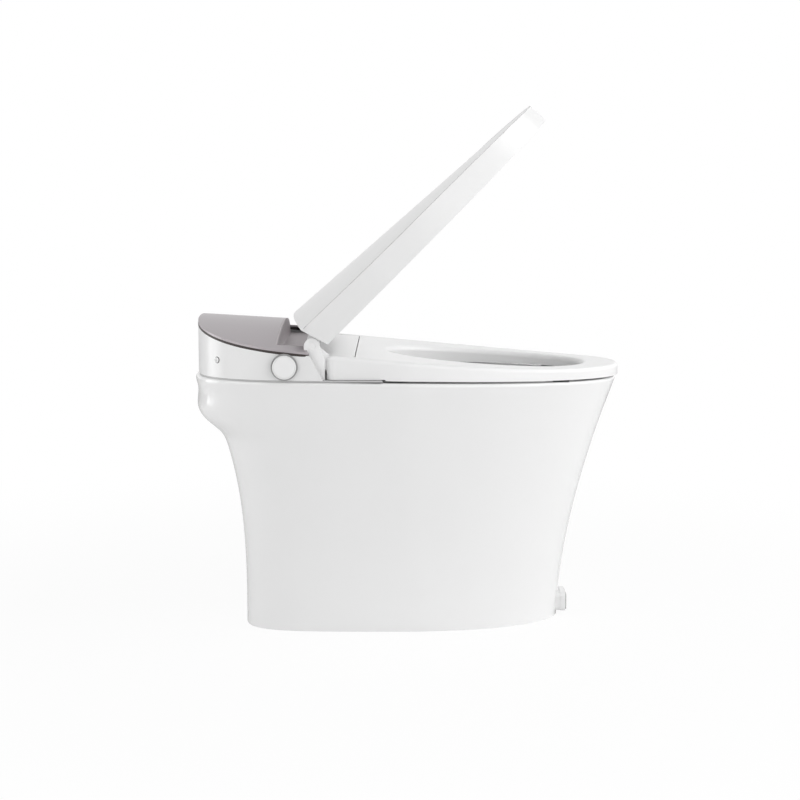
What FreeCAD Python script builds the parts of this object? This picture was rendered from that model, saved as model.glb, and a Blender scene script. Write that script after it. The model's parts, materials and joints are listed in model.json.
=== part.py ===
import FreeCAD, Part
import math
import os

from FreeCAD import Vector

# Smart toilet: skirted ceramic pan with a wash unit on its rear deck, a seat and a lid.
# Frame: origin at the centre of the floor outlet on the floor, +X to the front, +Z up, mm.

# Ceramic pan
foot_front = 303.0
foot_rear = -207.0
foot_half_width = 137.0
rim_front = 400.0
rim_half_width = 195.0
deck_z = 407.0
rim_fall = 10.0
deck_front = -77.0
deck_rear = -283.0
skirt_top_rear = -240.0
overhang_low_z = 304.0
overhang_high_z = 356.0
widest_foot_x = 40.0
widest_deck_x = -10.0
foot_squareness = 4.6
deck_squareness = 3.3
front_squareness = 2.1
flare_power = 1.65
rear_flare_power = 3.0
ceramic_wall = 12.0
rim_edge_r = 4.0
skirt_sections = 22
hollow_sections = 20

# Bowl and trapway
bowl_rear = 5.0
bowl_front = 343.0
bowl_half_width = 122.0
bowl_floor_z = 108.0
bowl_rear_taper = 150.0
bowl_front_taper = 138.0
bowl_side_taper = 0.8
bowl_roundness = 2.2
bowl_sections = 5
trap_bore_r = 26.0
trap_wall = 7.0
trap_bend_r = 45.0
trap_low_z = 88.0
trap_high_z = 140.0

# Wash unit on the deck
unit_rear = -281.0
unit_half_width = 196.0
unit_wall = 4.0
plate_thickness = 2.5
plate_inset = 2.0
plate_front = -30.0
strip_front = 14.0
strip_inner_y = 150.0
strip_nose = 4.0
wall_foot_z = 410.0
foot_gap = 0.5
cheek_front_low = -75.4
cheek_lean = 20.0 / 38.0
crown_rear_x = -240.0
crown_rear_z = 492.0
crown_fall = 7.0 / 120.0
crown_r = 610.0
cover_thickness = 3.0
trim_thickness = 1.5
trim_inset = 1.5
trim_width = 10.0
fit_gap = 0.1

# How far cutting shapes reach past what they cut
over = 1.0
margin = 20.0

# Hinge line of the seat and the lid
hinge_x = -92.0
hinge_z = 462.0
hinge_pin_r = 5.0
running_gap = 0.05
knuckle_r = 11.0
post_r = 12.0
post_front = -72.0
post_shoulder_z = 442.0
lid_knuckle_y = (156.0, 169.5)
seat_knuckle_y = (170.0, 179.5)
post_y = (180.0, 185.5)
pin_inner_y = 112.0
damper_y = (112.5, 155.5)
damper_r = 10.0
damper_collar = 6.0
trough_r = 54.0
trough_skin = 2.5
trough_lean = 0.115
trough_low_z = 445.8
trough_half_width = 171.0
trough_front = -106.5
post_room_y = 186.0
post_gap = 2.0

# Cowl between the seat's rear arms
cowl_half_width = 168.0
cowl_front = -27.0
cowl_rear = -106.0
cowl_skin = 3.0
nozzle_half_width = 85.0
cowl_corner_r = 8.0

# Seat
seat_front = 399.0
seat_half_width = 188.0
seat_rear = -70.0
seat_gap = 3.2
seat_edge_r = 6.0
seat_hole_edge_r = 8.0
seat_corner_r = 12.0
seat_hole_rear = 25.0
seat_hole_front = 340.0
seat_hole_half_width = 110.0
seat_hole_squareness = 2.3
seat_notch_gap = 1.5
seat_split = 8.0
seat_rear_top_z = 446.0
seat_front_top_z = 419.5
seat_curve_rear = -50.0
seat_curve_front = 330.0
seat_curve_power = 1.35
seat_curve_steps = 8
foil_thickness = 0.6
foil_inset = 12.0
seat_arm_x = -62.0
seat_arm_z = (420.0, 444.0)
arm_drop = 2.0

# Lid, drawn closed and stored open as photographed
lid_front = 413.0
lid_half_width = 200.0
lid_rear_top = -89.0
lid_rear_lean = 14.0 / 58.0
lid_skin = 3.5
lid_corner_r = 22.0
lid_under_rear_z = 447.0
lid_under_front_z = 413.8
lid_crease_rear_z = 489.0
lid_crease_front_z = 445.0
lid_crown = 25.5
liner_thickness = 2.5
liner_rise = 9.0
lid_front_crown = 1.0
liner_rear = -60.0
lid_web_x = -74.0
lid_web_z = (460.0, 482.0)
web_toe = 4.0
lid_rest_angle = 48.7

# Places inside the unit
wand_window_rear = -112.0
inlet_x = -172.0
inlet_y = -74.0
inlet_r = 10.48
unit_bolt_places = [(-150.0, 120.0), (-150.0, -120.0)]
unit_bolt_r = 4.0
bolt_head_r = 7.0
bolt_head_height = 5.0
nut_r = 9.0
nut_height = 7.0
heater_x = (-258.0, -205.0)
heater_y = (-105.0, -24.0)
heater_top = 448.0
heater_corner_r = 8.0
board_x = (-252.0, -211.0)
board_y = (-98.0, -32.0)
board_thickness = 1.6
standoff_r = 3.0
standoff_height = 8.0
standoff_inset = 6.0
pump_x = (-198.0, -152.0)
pump_y = -38.5
pump_r = 15.0
pump_rise = 17.0
pump_foot_half = 10.0
fan_x = -215.0
fan_y = 92.0
fan_r = 35.0
fan_height = 41.0
fan_outlet_height = 20.0
filter_x = (-200.0, -140.0)
filter_y = (132.0, 162.0)
filter_top = 436.0
knob_x = -134.0
knob_z = 430.4
bezel_r = 20.6
plug_x = -241.0
plug_z = 437.0
plug_r = 4.2
plug_rim = 1.5
gland_y = 60.0
gland_z = 428.0
gland_r = 8.0
gland_bore_r = 3.5
gland_length = 24.0
gland_lip = 5.0
gland_flange = 3.0
well_rear = -104.0
well_floor_rear_z = 372.0
well_floor_front_z = 338.0
well_front = 70.0
inlet_neck_r = 9.5
inlet_bore_r = 7.0
inlet_thread_top = 376.0
inlet_thread_low = 352.0
valve_half = 17.0
valve_height = 28.0
coil_r = 13.0
coil_height = 22.0
bezel_wall = 2.0
bezel_floor_y = -183.0
bezel_face_y = -196.5
knob_face_y = -200.0
knob_floor_y = -191.0
button_r = 16.4
button_back_y = -195.0
encoder_shaft_r = 3.0
encoder_half = 11.0
knob_gap = 0.3
bezel_floor = 2.0
ring_edge_r = 1.2
button_edge_r = 0.8

# Wash wands and dryer
wand_r = 6.0
wand_length = 170.0
wand_slope = 20.0
wand_tip_x = -53.0
wand_tip_z = 401.5
wand_half_spacing = 14.0
guide_x = -119.0
guide_length = 34.0
guide_half_width = 26.0
guide_half_height = 9.5
guide_leg_rear = 14.0
guide_leg_front = 6.0
motor_r = 10.5
motor_length = 12.0
jet_r = 1.0
jet_spacing = 5.0
duct_y = (40.0, 76.0)
duct_skin = 2.0
duct_rear = -171.8
duct_front = -58.0
duct_top = 453.0
duct_low = 432.5
duct_bevel = 8.0
ear_thickness = 3.0
ear_length = 16.0
flap_pivot_x = -56.2
flap_pivot_z = 411.5
flap_pin_r = 1.5
flap_length = 20.0
flap_half = 1.0

# Floor fixings and foot sensor
flush_x = -166.0
flush_r = 28.0
flush_flange_r = 36.0
flush_flange = 8.0
flush_low_z = 285.0
flush_pipe_r = 15.0
flush_pipe_z = 304.0
seal_r = 52.0
seal_height = 18.0
bracket_x = (70.0, 110.0)
bracket_y = (84.0, 118.0)
bracket_thickness = 5.0
bracket_height = 60.0
floor_hole_r = 4.5
floor_hole_y = 100.0
screw_r = 3.0
screw_head = 4.0
screw_edge = 11.0
screw_z = 36.0
boss_inset = 2.0
boss_low = 8.0
boss_bite = 7.0
sensor_z = (6.0, 37.0)
sensor_half_width = 28.0
sensor_face = 318.0
sensor_back = 308.5
gasket_back = 285.0
sensor_corner_r = 8.0
window_thickness = 1.2
window_inset = 2.5
gasket_inset = 1.0

# Rubber buffers under the seat and the lid
seat_buffer_places = [(297.0, 117.0), (35.0, 155.0)]
seat_buffer_half_length = 12.5
seat_buffer_half_width = 6.0
lid_buffer_places = [(20.0, 140.0), (285.0, 100.0)]
lid_buffer_r = 7.0
buffer_rest_gap = 0.3


def blend(a, b, share):
    return a + (b - a) * share


def smooth_step(value, low, high):
    share = min(max((value - low) / (high - low), 0.0), 1.0)
    return share * share * (3 - 2 * share)


def half_outline(mid_x, reach, half_width, squareness, z, steps=16):
    """Half of a superellipse, from the +Y side round its end to the -Y side."""
    points = []
    for i in range(steps + 1):
        angle = math.pi * (0.5 - i / steps)
        along = round(math.cos(angle), 9) ** (2 / squareness)
        across = math.copysign(abs(math.sin(angle)) ** (2 / squareness), math.sin(angle))
        points.append(Vector(mid_x + reach * along, half_width * across, z))
    side = Vector(math.copysign(1, reach), 0, 0)
    curve = Part.BSplineCurve()
    curve.interpolate(Points=points, InitialTangent=side, FinalTangent=side * -1)
    return curve.toShape()


def plan_outline(rear, front, mid_x, half_width, rear_squareness, z, nose_squareness=front_squareness):
    """Closed plan outline with a squarish rear and a rounded front, at height z."""
    nose = half_outline(mid_x, front - mid_x, half_width, nose_squareness, z)
    tail = half_outline(mid_x, rear - mid_x, half_width, rear_squareness, z)
    return Part.Wire(Part.__sortEdges__([nose, tail]))


def square_tail_outline(rear, front, mid_x, half_width, corner_r, z):
    """Closed plan outline with straight sides, rounded rear corners and a rounded front."""
    nose = half_outline(mid_x, front - mid_x, half_width, front_squareness, z)
    turn = corner_r * (1 - math.sqrt(0.5))
    inner_y = half_width - corner_r
    edges = [nose]
    for side in (1, -1):
        begin = Vector(rear + corner_r, side * half_width, z)
        end = Vector(rear, side * inner_y, z)
        bend = Vector(rear + turn, side * (half_width - turn), z)
        edges.append(Part.makeLine(Vector(mid_x, side * half_width, z), begin))
        edges.append(Part.Arc(begin, bend, end).toShape())
    edges.append(Part.makeLine(Vector(rear, inner_y, z), Vector(rear, -inner_y, z)))
    return Part.Wire(Part.__sortEdges__(edges))


def prism(wire, height):
    return Part.Face(wire).extrude(Vector(0, 0, height))


def box(x0, x1, y0, y1, z0, z1):
    return Part.makeBox(x1 - x0, y1 - y0, z1 - z0, Vector(x0, y0, z0))


def mirrored(shape):
    return shape.mirror(Vector(0, 0, 0), Vector(0, 1, 0))


def cylinder_y(x, z, r, y0, y1):
    return Part.makeCylinder(r, y1 - y0, Vector(x, y0, z), Vector(0, 1, 0))


def cylinder_z(x, y, r, z0, z1):
    return Part.makeCylinder(r, z1 - z0, Vector(x, y, z0))


def skirt_section(z, inset=0.0):
    """Plan outline of the pan at height z: flared front, S-curved rear under the deck."""
    share = max(z, 0.0) / deck_z
    front = blend(foot_front, rim_front, share ** flare_power)
    half_width = blend(foot_half_width, rim_half_width, share ** flare_power)
    skirt_rear = blend(foot_rear, skirt_top_rear, (max(z, 0.0) / overhang_low_z) ** rear_flare_power)
    overhang = smooth_step(z, overhang_low_z, overhang_high_z)
    rear = blend(skirt_rear, deck_rear, overhang)
    squareness = blend(foot_squareness, deck_squareness, share)
    mid_x = blend(widest_foot_x, widest_deck_x, share)
    return plan_outline(rear + inset, front - inset, mid_x, half_width - inset, squareness, z)


def rim_z(x):
    """Height of the rim: level on the deck, then falling gently to the front."""
    return deck_z - rim_fall * max(x - deck_front, 0.0) / (rim_front - deck_front)


def above_rim(margin):
    """Wedge of everything above the falling rim, in front of the deck."""
    profile = Part.makePolygon([
        Vector(deck_front, 0, deck_z), Vector(rim_front + margin, 0, rim_z(rim_front + margin)),
        Vector(rim_front + margin, 0, deck_z + margin), Vector(deck_front, 0, deck_z + margin),
        Vector(deck_front, 0, deck_z)])
    half = rim_half_width + margin
    return Part.Face(profile).extrude(Vector(0, 2 * half, 0)).translated(Vector(0, -half, 0))


def bowl_solid(grow):
    """Bowl cavity, or its outer skin when grown by the wall."""
    sections = []
    for i in range(bowl_sections + 1):
        depth = i / bowl_sections
        rear = bowl_rear + bowl_rear_taper * depth ** 1.2 - grow
        front = bowl_front - bowl_front_taper * depth ** 2 + grow
        half_width = bowl_half_width * (1 - bowl_side_taper * depth ** 1.7) + grow
        z = blend(deck_z, bowl_floor_z, depth)
        sections.append(plan_outline(rear, front, (rear + front) / 2, half_width, bowl_roundness, z))
    return Part.makeLoft(sections, True)


def trap_tube(r):
    """S-trap swept along straight legs joined by two half turns."""
    sump_x, rise_x, bend = 4 * trap_bend_r, 2 * trap_bend_r, trap_bend_r
    up = Part.LineSegment(Vector(sump_x, 0, bowl_floor_z + trap_bore_r), Vector(sump_x, 0, trap_low_z))
    low = Part.Arc(Vector(sump_x, 0, trap_low_z), Vector(sump_x - bend, 0, trap_low_z - bend),
                   Vector(rise_x, 0, trap_low_z))
    rise = Part.LineSegment(Vector(rise_x, 0, trap_low_z), Vector(rise_x, 0, trap_high_z))
    high = Part.Arc(Vector(rise_x, 0, trap_high_z), Vector(rise_x - bend, 0, trap_high_z + bend),
                    Vector(0, 0, trap_high_z))
    down = Part.LineSegment(Vector(0, 0, trap_high_z), Vector(0, 0, 0))
    path = Part.Wire([leg.toShape() for leg in (up, low, rise, high, down)])
    start = Part.Circle(Vector(sump_x, 0, bowl_floor_z + trap_bore_r), Vector(0, 0, 1), r)
    return path.makePipeShell([Part.Wire(start.toShape())], True, False)


def skirt_solid(top_z, inset, sections):
    """The pan's outer form up to top_z, lofted through evenly spaced outlines."""
    heights = [top_z * i / sections for i in range(sections + 1)]
    return Part.makeLoft([skirt_section(z, inset) for z in heights], True)


def nozzle_well(grow):
    """Recess in the rear of the rim where the wands and the dryer reach the bowl."""
    rear = well_rear - grow
    half = nozzle_half_width + grow
    top = deck_z - over if grow else deck_z + over
    return side_profile([(rear, well_floor_rear_z - grow), (well_front, well_floor_front_z - grow),
                         (well_front, top), (rear, top)], -half, half)


def bracket_bosses():
    x0, x1 = bracket_x
    face = bracket_y[1]
    boss = box(x0 + boss_inset, x1 - boss_inset, face, face + ceramic_wall, boss_low,
               bracket_height - screw_head)
    return boss, mirrored(boss)


def bracket_screw_xs():
    x0, x1 = bracket_x
    return [x0 + screw_edge, x1 - screw_edge]


def pan_outside():
    """The pan's outer form with its falling rim and a softened rim edge."""
    pan = skirt_solid(deck_z, 0, skirt_sections).cut(above_rim(2 * margin))
    rim = []
    for edge in pan.Edges:
        middle = edge.valueAt(blend(edge.FirstParameter, edge.LastParameter, 0.5))
        along = abs(edge.tangentAt(edge.FirstParameter).z) < 0.5
        if along and middle.x > deck_front and abs(middle.z - rim_z(middle.x)) < fit_gap:
            rim.append(edge)
    return pan.makeFillet(rim_edge_r, rim)


def ceramic_body():
    hollow_top = deck_z - 2 * ceramic_wall
    hollow = skirt_solid(hollow_top, ceramic_wall, hollow_sections)
    shell = pan_outside().cut(hollow)
    inside = bowl_solid(ceramic_wall).fuse(nozzle_well(ceramic_wall)).common(hollow)
    shell = shell.fuse(inside).fuse(trap_tube(trap_bore_r + trap_wall))
    for boss in bracket_bosses():
        shell = shell.fuse(boss)
    shell = shell.cut(bowl_solid(0)).cut(nozzle_well(0)).cut(trap_tube(trap_bore_r))
    low, high = hollow_top - over, deck_z + over
    holes = cylinder_z(inlet_x, inlet_y, inlet_r + fit_gap, low, high)
    for x, y in unit_bolt_places:
        holes = holes.fuse(cylinder_z(x, y, unit_bolt_r + fit_gap, low, high))
    for x in bracket_screw_xs():
        hole = cylinder_y(x, screw_z, screw_r + fit_gap, bracket_y[1] - over, bracket_y[1] + boss_bite)
        holes = holes.fuse(hole).fuse(mirrored(hole))
    return shell.cut(holes)


def side_profile(points, y0, y1):
    """Straight-sided outline in the XZ plane, extruded along Y."""
    wire = Part.makePolygon([Vector(x, y0, z) for x, z in points + points[:1]])
    return Part.Face(wire).extrude(Vector(0, y1 - y0, 0))


def unit_outline(z, inset):
    return plan_outline(unit_rear + inset, rim_front, widest_deck_x, unit_half_width - inset,
                        deck_squareness, z)


def crown_cylinder(drop):
    """The arched top of the unit: a large cylinder along X that falls to the front."""
    axis = Vector(1, 0, -crown_fall)
    start = Vector(crown_rear_x, 0, crown_rear_z - crown_r) - axis * unit_half_width
    return Part.makeCylinder(crown_r - drop, 3 * unit_half_width, start, axis)


def cheek_x(z):
    """Front edge of the unit's side walls, leaning back as it rises."""
    return cheek_front_low - (z - wall_foot_z) * cheek_lean


def behind_cheeks(z0, z1):
    far = unit_rear - margin
    half = unit_half_width + margin
    return side_profile([(far, z0), (cheek_x(z0), z0), (cheek_x(z1), z1), (far, z1)], -half, half)


def base_plate():
    plate = prism(unit_outline(deck_z, plate_inset), plate_thickness)
    half = unit_half_width
    low, top = deck_z - over, deck_z + plate_thickness + over
    keep = box(unit_rear - margin, plate_front, -half, half, low, top)
    strip = side_profile([(plate_front - over, low), (strip_front + strip_nose, low), (strip_front, top),
                          (plate_front - over, top)], strip_inner_y, half)
    plate = plate.common(keep.fuse(strip).fuse(mirrored(strip)))
    window = box(wand_window_rear, plate_front + over, -nozzle_half_width, nozzle_half_width, low, top)
    holes = cylinder_z(inlet_x, inlet_y, inlet_r + fit_gap, low, top)
    for x, y in unit_bolt_places:
        holes = holes.fuse(cylinder_z(x, y, unit_bolt_r + fit_gap, low, top))
    return plate.cut(window).cut(holes)


def rear_housing():
    foot = wall_foot_z - foot_gap
    height = crown_rear_z + margin - foot
    outer = prism(unit_outline(foot, 0), height)
    inner = prism(unit_outline(foot - over, unit_wall), height + 2 * over)
    under_cover = crown_cylinder(cover_thickness + trim_thickness + 2 * fit_gap)
    wall = outer.cut(inner).common(under_cover).common(behind_cheeks(foot, foot + height))
    wall = wall.cut(cylinder_y(knob_x, knob_z, bezel_r + fit_gap, -unit_half_width - margin, 0))
    point, normal = wall_place(plug_x, plug_z)
    wall = wall.cut(Part.makeCylinder(plug_r + fit_gap, 2 * margin, point - normal * margin, normal))
    return wall.cut(gland_disc(gland_r + fit_gap, margin, 2 * margin))


def wall_place(x, z):
    """A point on the -Y side of the unit's wall and its outward normal."""
    reach = widest_deck_x - unit_rear
    u = (widest_deck_x - x) / reach
    v = (1 - u ** deck_squareness) ** (1 / deck_squareness)
    normal = Vector(-u ** (deck_squareness - 1) / reach, -v ** (deck_squareness - 1) / unit_half_width, 0)
    return Vector(x, -v * unit_half_width, z), normal.normalize()


def crown_layer(high, low, inset):
    """Layer between two drops below the crown, cut back for the lid and the hinge posts."""
    top = crown_rear_z + margin
    layer = prism(unit_outline(wall_foot_z, inset), top - wall_foot_z)
    layer = layer.common(crown_cylinder(high)).cut(crown_cylinder(low))
    layer = layer.common(behind_cheeks(wall_foot_z, top))
    layer = layer.cut(trough_void(trough_skin + fit_gap, trough_half_width + fit_gap))
    post_rear = hinge_x - post_r - post_gap
    return layer.cut(box(post_rear, hinge_x + 2 * margin, -post_room_y, post_room_y, wall_foot_z, top))


def top_cover():
    return crown_layer(0, cover_thickness, 0)


def cover_trim():
    high = cover_thickness + fit_gap
    layer = crown_layer(high, high + trim_thickness, trim_inset)
    return layer.cut(prism(unit_outline(wall_foot_z, trim_width), crown_rear_z - wall_foot_z))


def trough_void(grow, half):
    """Room that the lid sweeps behind the hinge line: a round bottom under a leaning back."""
    rear = hinge_x - trough_r - grow
    high = hinge_z + trough_r
    back = side_profile([(rear, hinge_z), (hinge_x, hinge_z), (hinge_x, high),
                         (rear + trough_r * trough_lean, high)], -half, half)
    return back.fuse(cylinder_y(hinge_x, hinge_z, trough_r + grow, -half, half))


def hinge_trough():
    """Lining that the lid's rear edge swings into: a curved back and a level floor."""
    half = trough_half_width
    lining = trough_void(trough_skin, half).cut(trough_void(0, half + over))
    keep = box(hinge_x - 2 * trough_r, hinge_x - trough_r / 2, -half, half, trough_low_z,
               hinge_z + 2 * trough_r)
    lining = lining.common(keep).common(crown_cylinder(0))
    floor_z = seat_top_z(trough_front)
    floor = box(hinge_x - 2 * trough_r, trough_front, -half, half, floor_z - trough_skin, floor_z)
    floor = floor.common(trough_void(trough_skin, half))
    return lining.fuse(floor).removeSplitter()


def front_cowl():
    half = cowl_half_width
    foot = deck_z + plate_thickness
    outer = side_profile([(cowl_rear, foot), (cowl_front, foot), (cowl_front, seat_top_z(cowl_front)),
                          (cowl_rear, seat_top_z(cowl_rear))], -half, half)
    front = cowl_front - cowl_skin
    rear = cowl_rear - over
    roof = seat_top_z(cowl_front) - cowl_skin
    inner = side_profile([(rear, foot - over), (front, foot - over), (front, roof),
                          (rear, seat_top_z(cowl_rear) - cowl_skin)], -half + cowl_skin, half - cowl_skin)
    corners = [e for e in upright_edges(outer) if e.CenterOfMass.x > cowl_rear + over]
    return outer.makeFillet(cowl_corner_r, corners).cut(inner)


def hinge_posts():
    y0, y1 = post_y
    foot = deck_z + plate_thickness
    post = side_profile([(hinge_x - post_r, foot), (post_front, foot), (post_front, post_shoulder_z),
                         (hinge_x + post_r, hinge_z), (hinge_x - post_r, hinge_z)], y0, y1)
    post = post.fuse(cylinder_y(hinge_x, hinge_z, post_r, y0, y1))
    post = post.cut(cylinder_y(hinge_x, hinge_z, hinge_pin_r + fit_gap, y0 - over, y1 + over))
    post = post.removeSplitter()
    return post, mirrored(post)


def upright_edges(shape):
    return [e for e in shape.Edges if abs(e.tangentAt(e.FirstParameter).z) > 0.9]


def hinge_pins():
    pin = cylinder_y(hinge_x, hinge_z, hinge_pin_r, pin_inner_y, post_y[1])
    return pin, mirrored(pin)


def damper(side):
    """Rotary damper on the hinge line, held by a bracket that stands on the cowl."""
    y0, y1 = damper_y
    r = damper_r
    body = cylinder_y(hinge_x, hinge_z, r, y0, y1)
    foot = seat_top_z(hinge_x - r) + fit_gap
    stand = box(hinge_x - r, hinge_x + r, y0 + damper_collar, y1 - damper_collar, foot, hinge_z)
    stand = stand.cut(cylinder_y(hinge_x, hinge_z, r - over, y0, y1))
    body = body.fuse(stand).cut(cylinder_y(hinge_x, hinge_z, hinge_pin_r + fit_gap, y0 - over, y1 + over))
    return body if side > 0 else mirrored(body)


def seat_top_z(x):
    """Top of the seat in side view: falling from the rear arms, almost level at the front."""
    share = (seat_curve_front - x) / (seat_curve_front - seat_curve_rear)
    share = min(max(share, 0.0), 1.1)
    return blend(seat_front_top_z, seat_rear_top_z, share ** seat_curve_power)


def seat_side(gap, top_drop):
    """Side profile of the seat as a closed face in the XZ plane."""
    rear, front = seat_rear - margin, seat_front + margin
    xs = [blend(rear, front, i / seat_curve_steps) for i in range(seat_curve_steps + 1)]
    curve = Part.BSplineCurve()
    curve.interpolate([Vector(x, 0, seat_top_z(x) - top_drop) for x in xs])
    low = [Vector(front, 0, seat_top_z(front) - top_drop), Vector(front, 0, rim_z(front) + gap),
           Vector(deck_front, 0, rim_z(deck_front) + gap), Vector(rear, 0, rim_z(rear) + gap),
           Vector(rear, 0, seat_top_z(rear) - top_drop)]
    edges = [curve.toShape()] + [Part.makeLine(a, b) for a, b in zip(low, low[1:])]
    half = seat_half_width + margin
    return Part.Face(Part.Wire(edges)).extrude(Vector(0, 2 * half, 0)).translated(Vector(0, -half, 0))


def seat_ring(inset):
    """The seat in plan: rounded outline, oval hole and the notch for the cowl."""
    low, height = deck_z - 2 * margin, 6 * margin
    outline = prism(square_tail_outline(seat_rear + inset, seat_front - inset, widest_deck_x,
                                        seat_half_width - inset, seat_corner_r, low), height)
    middle = (seat_hole_rear + seat_hole_front) / 2
    hole = prism(plan_outline(seat_hole_rear - inset, seat_hole_front + inset, middle,
                              seat_hole_half_width + inset, seat_hole_squareness, low), height)
    half = cowl_half_width + seat_notch_gap + inset
    notch = box(seat_rear - margin, cowl_front + seat_notch_gap + inset, -half, half, low, low + height)
    return outline.cut(hole).cut(notch)


def seat_layer(low, high):
    """Slab between two heights above the rim, following its fall."""
    return seat_side(low, -2 * margin).cut(seat_side(high, -2 * margin))


def seat_knuckles():
    y0, y1 = seat_knuckle_y
    low, high = seat_arm_z
    arm = side_profile([(hinge_x, hinge_z - knuckle_r), (hinge_x + knuckle_r, hinge_z - arm_drop),
                        (seat_arm_x, high), (seat_arm_x, low), (seat_rear, low + 2 * arm_drop)], y0, y1)
    arm = arm.fuse(cylinder_y(hinge_x, hinge_z, knuckle_r, y0, y1))
    return arm.cut(cylinder_y(hinge_x, hinge_z, hinge_pin_r + running_gap, y0 - over, y1 + over))


def round_top_edges(seat, radius, wanted):
    """Rounds the edges of the seat's top face whose middle point is wanted."""
    edges = []
    for edge in seat.Edges:
        middle = edge.valueAt(blend(edge.FirstParameter, edge.LastParameter, 0.5))
        on_top = abs(middle.z - seat_top_z(middle.x)) < 6 * fit_gap and middle.x > seat_rear + over
        if on_top and wanted(middle):
            edges.append(edge)
    return seat.makeFillet(radius, edges)


def on_seat_outline(point):
    return abs(point.y) > seat_half_width - over or point.x > seat_hole_front + margin


def on_seat_hole(point):
    ends = (seat_hole_rear, seat_hole_front)
    return abs(point.y) < margin and any(abs(point.x - end) < over for end in ends)


def seat_pieces():
    whole = round_top_edges(seat_ring(0).common(seat_side(seat_gap, 0)), seat_edge_r, on_seat_outline)
    whole = round_top_edges(whole, seat_hole_edge_r, on_seat_hole)
    split = seat_gap + seat_split
    lower = seat_layer(seat_gap - over, split)
    half = unit_half_width
    step_front = strip_front + strip_nose + seat_gap
    step = box(seat_rear - over, step_front, -half, half, deck_z - margin, deck_z + seat_gap)
    base = whole.common(lower).cut(step)
    foil = seat_ring(foil_inset).common(seat_layer(split, split + foil_thickness))
    pocket = seat_ring(foil_inset - fit_gap).common(seat_layer(split, split + foil_thickness + fit_gap))
    arm = seat_knuckles().cut(whole)
    return whole.cut(lower).cut(pocket), base, foil, [arm, mirrored(arm)]


def lid_under_z(x):
    return blend(lid_under_rear_z, lid_under_front_z, (x - lid_rear_top) / (lid_front - lid_rear_top))


def lid_crease_z(x):
    return blend(lid_crease_rear_z, lid_crease_front_z, (x - lid_rear_top) / (lid_front - lid_rear_top))


def lid_wedge(drop, low):
    """Space between the lid's under edge and its crowned top, fading to flat at the front."""
    half = lid_half_width + margin / 4
    wires = []
    for x, crown in [(lid_rear_top - margin, lid_crown), (lid_front + margin, lid_front_crown)]:
        edge_z = lid_crease_z(x) - drop
        under = lid_under_z(x) - low
        left, right = Vector(x, half, edge_z), Vector(x, -half, edge_z)
        arc = Part.Arc(right, Vector(x, 0, edge_z + crown), left).toShape()
        sides = Part.makePolygon([left, Vector(x, half, under), Vector(x, -half, under), right])
        wires.append(Part.Wire([arc] + sides.Edges))
    return Part.makeLoft(wires, True, True)


def lid_below_crease(drop):
    """Everything below a plane that runs under the lid's crease."""
    rear, front = lid_rear_top - margin, lid_front + margin
    low = deck_z - 3 * margin
    half = lid_half_width + margin
    return side_profile([(rear, low), (front, low), (front, lid_crease_z(front) - drop),
                         (rear, lid_crease_z(rear) - drop)], -half, half)


def lid_outline(inset):
    """The lid in plan, with its rear end leaning forward towards the hinge."""
    low = lid_under_front_z - 2 * margin
    top = lid_crease_rear_z + lid_crown
    flat = prism(square_tail_outline(lid_rear_top - margin + inset, lid_front - inset, widest_deck_x,
                                     lid_half_width - inset, lid_corner_r + margin, low), 8 * margin)
    high = top + margin
    rear_high, rear_low = [lid_rear_top + inset + (top - z) * lid_rear_lean for z in (high, low)]
    front = lid_front + margin
    half = lid_half_width + margin
    lean = side_profile([(rear_high, high), (rear_low, low), (front, low), (front, high)], -half, half)
    return flat.common(lean)


def lid_knuckles():
    y0, y1 = lid_knuckle_y
    low, high = lid_web_z
    web = side_profile([(hinge_x, hinge_z + knuckle_r), (lid_web_x, high), (lid_web_x, low),
                        (hinge_x + web_toe, hinge_z - 2 * web_toe)], y0, y1)
    web = web.fuse(cylinder_y(hinge_x, hinge_z, knuckle_r, y0, y1))
    return web.cut(cylinder_y(hinge_x, hinge_z, hinge_pin_r + running_gap, y0 - over, y1 + over))


def lid_pieces():
    """Crowned outer panel, the band below its crease, the hinge arms and the inner liner."""
    outer = lid_wedge(0, 0).common(lid_outline(0))
    inner = lid_wedge(lid_skin, margin).common(lid_outline(lid_skin))
    whole = outer.cut(inner)
    below = lid_below_crease(lid_skin)
    post_room = box(lid_rear_top - margin, lid_rear_top + 2 * margin, -post_room_y, post_room_y,
                    deck_z, hinge_z)
    band = whole.common(below).cut(post_room)
    arm = open_lid(lid_knuckles().cut(outer))
    rear, front = liner_rear, lid_front
    low_rear, low_front = lid_under_z(rear) + liner_rise, lid_under_z(front) + liner_rise
    slab = side_profile([(rear, low_rear), (front, low_front), (front, low_front + liner_thickness),
                         (rear, low_rear + liner_thickness)], -lid_half_width, lid_half_width)
    liner = slab.common(lid_outline(lid_skin + fit_gap))
    return open_lid(whole.cut(below)), open_lid(band), open_lid(liner), [arm, mirrored(arm)]


def open_lid(shape):
    """Turns a piece drawn with the lid closed to the photographed opening."""
    return shape.rotated(Vector(hinge_x, 0, hinge_z), Vector(0, -1, 0), lid_rest_angle)


def seat_buffers():
    pads = []
    half_length, half_width = seat_buffer_half_length, seat_buffer_half_width
    for x, y in seat_buffer_places:
        ends = (x - half_length, x + half_length)
        low = [(end, rim_z(end) + buffer_rest_gap) for end in ends]
        high = [(end, rim_z(end) + seat_gap) for end in reversed(ends)]
        pad = side_profile(low + high, y - half_width, y + half_width)
        pads += [pad, mirrored(pad)]
    return pads


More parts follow.
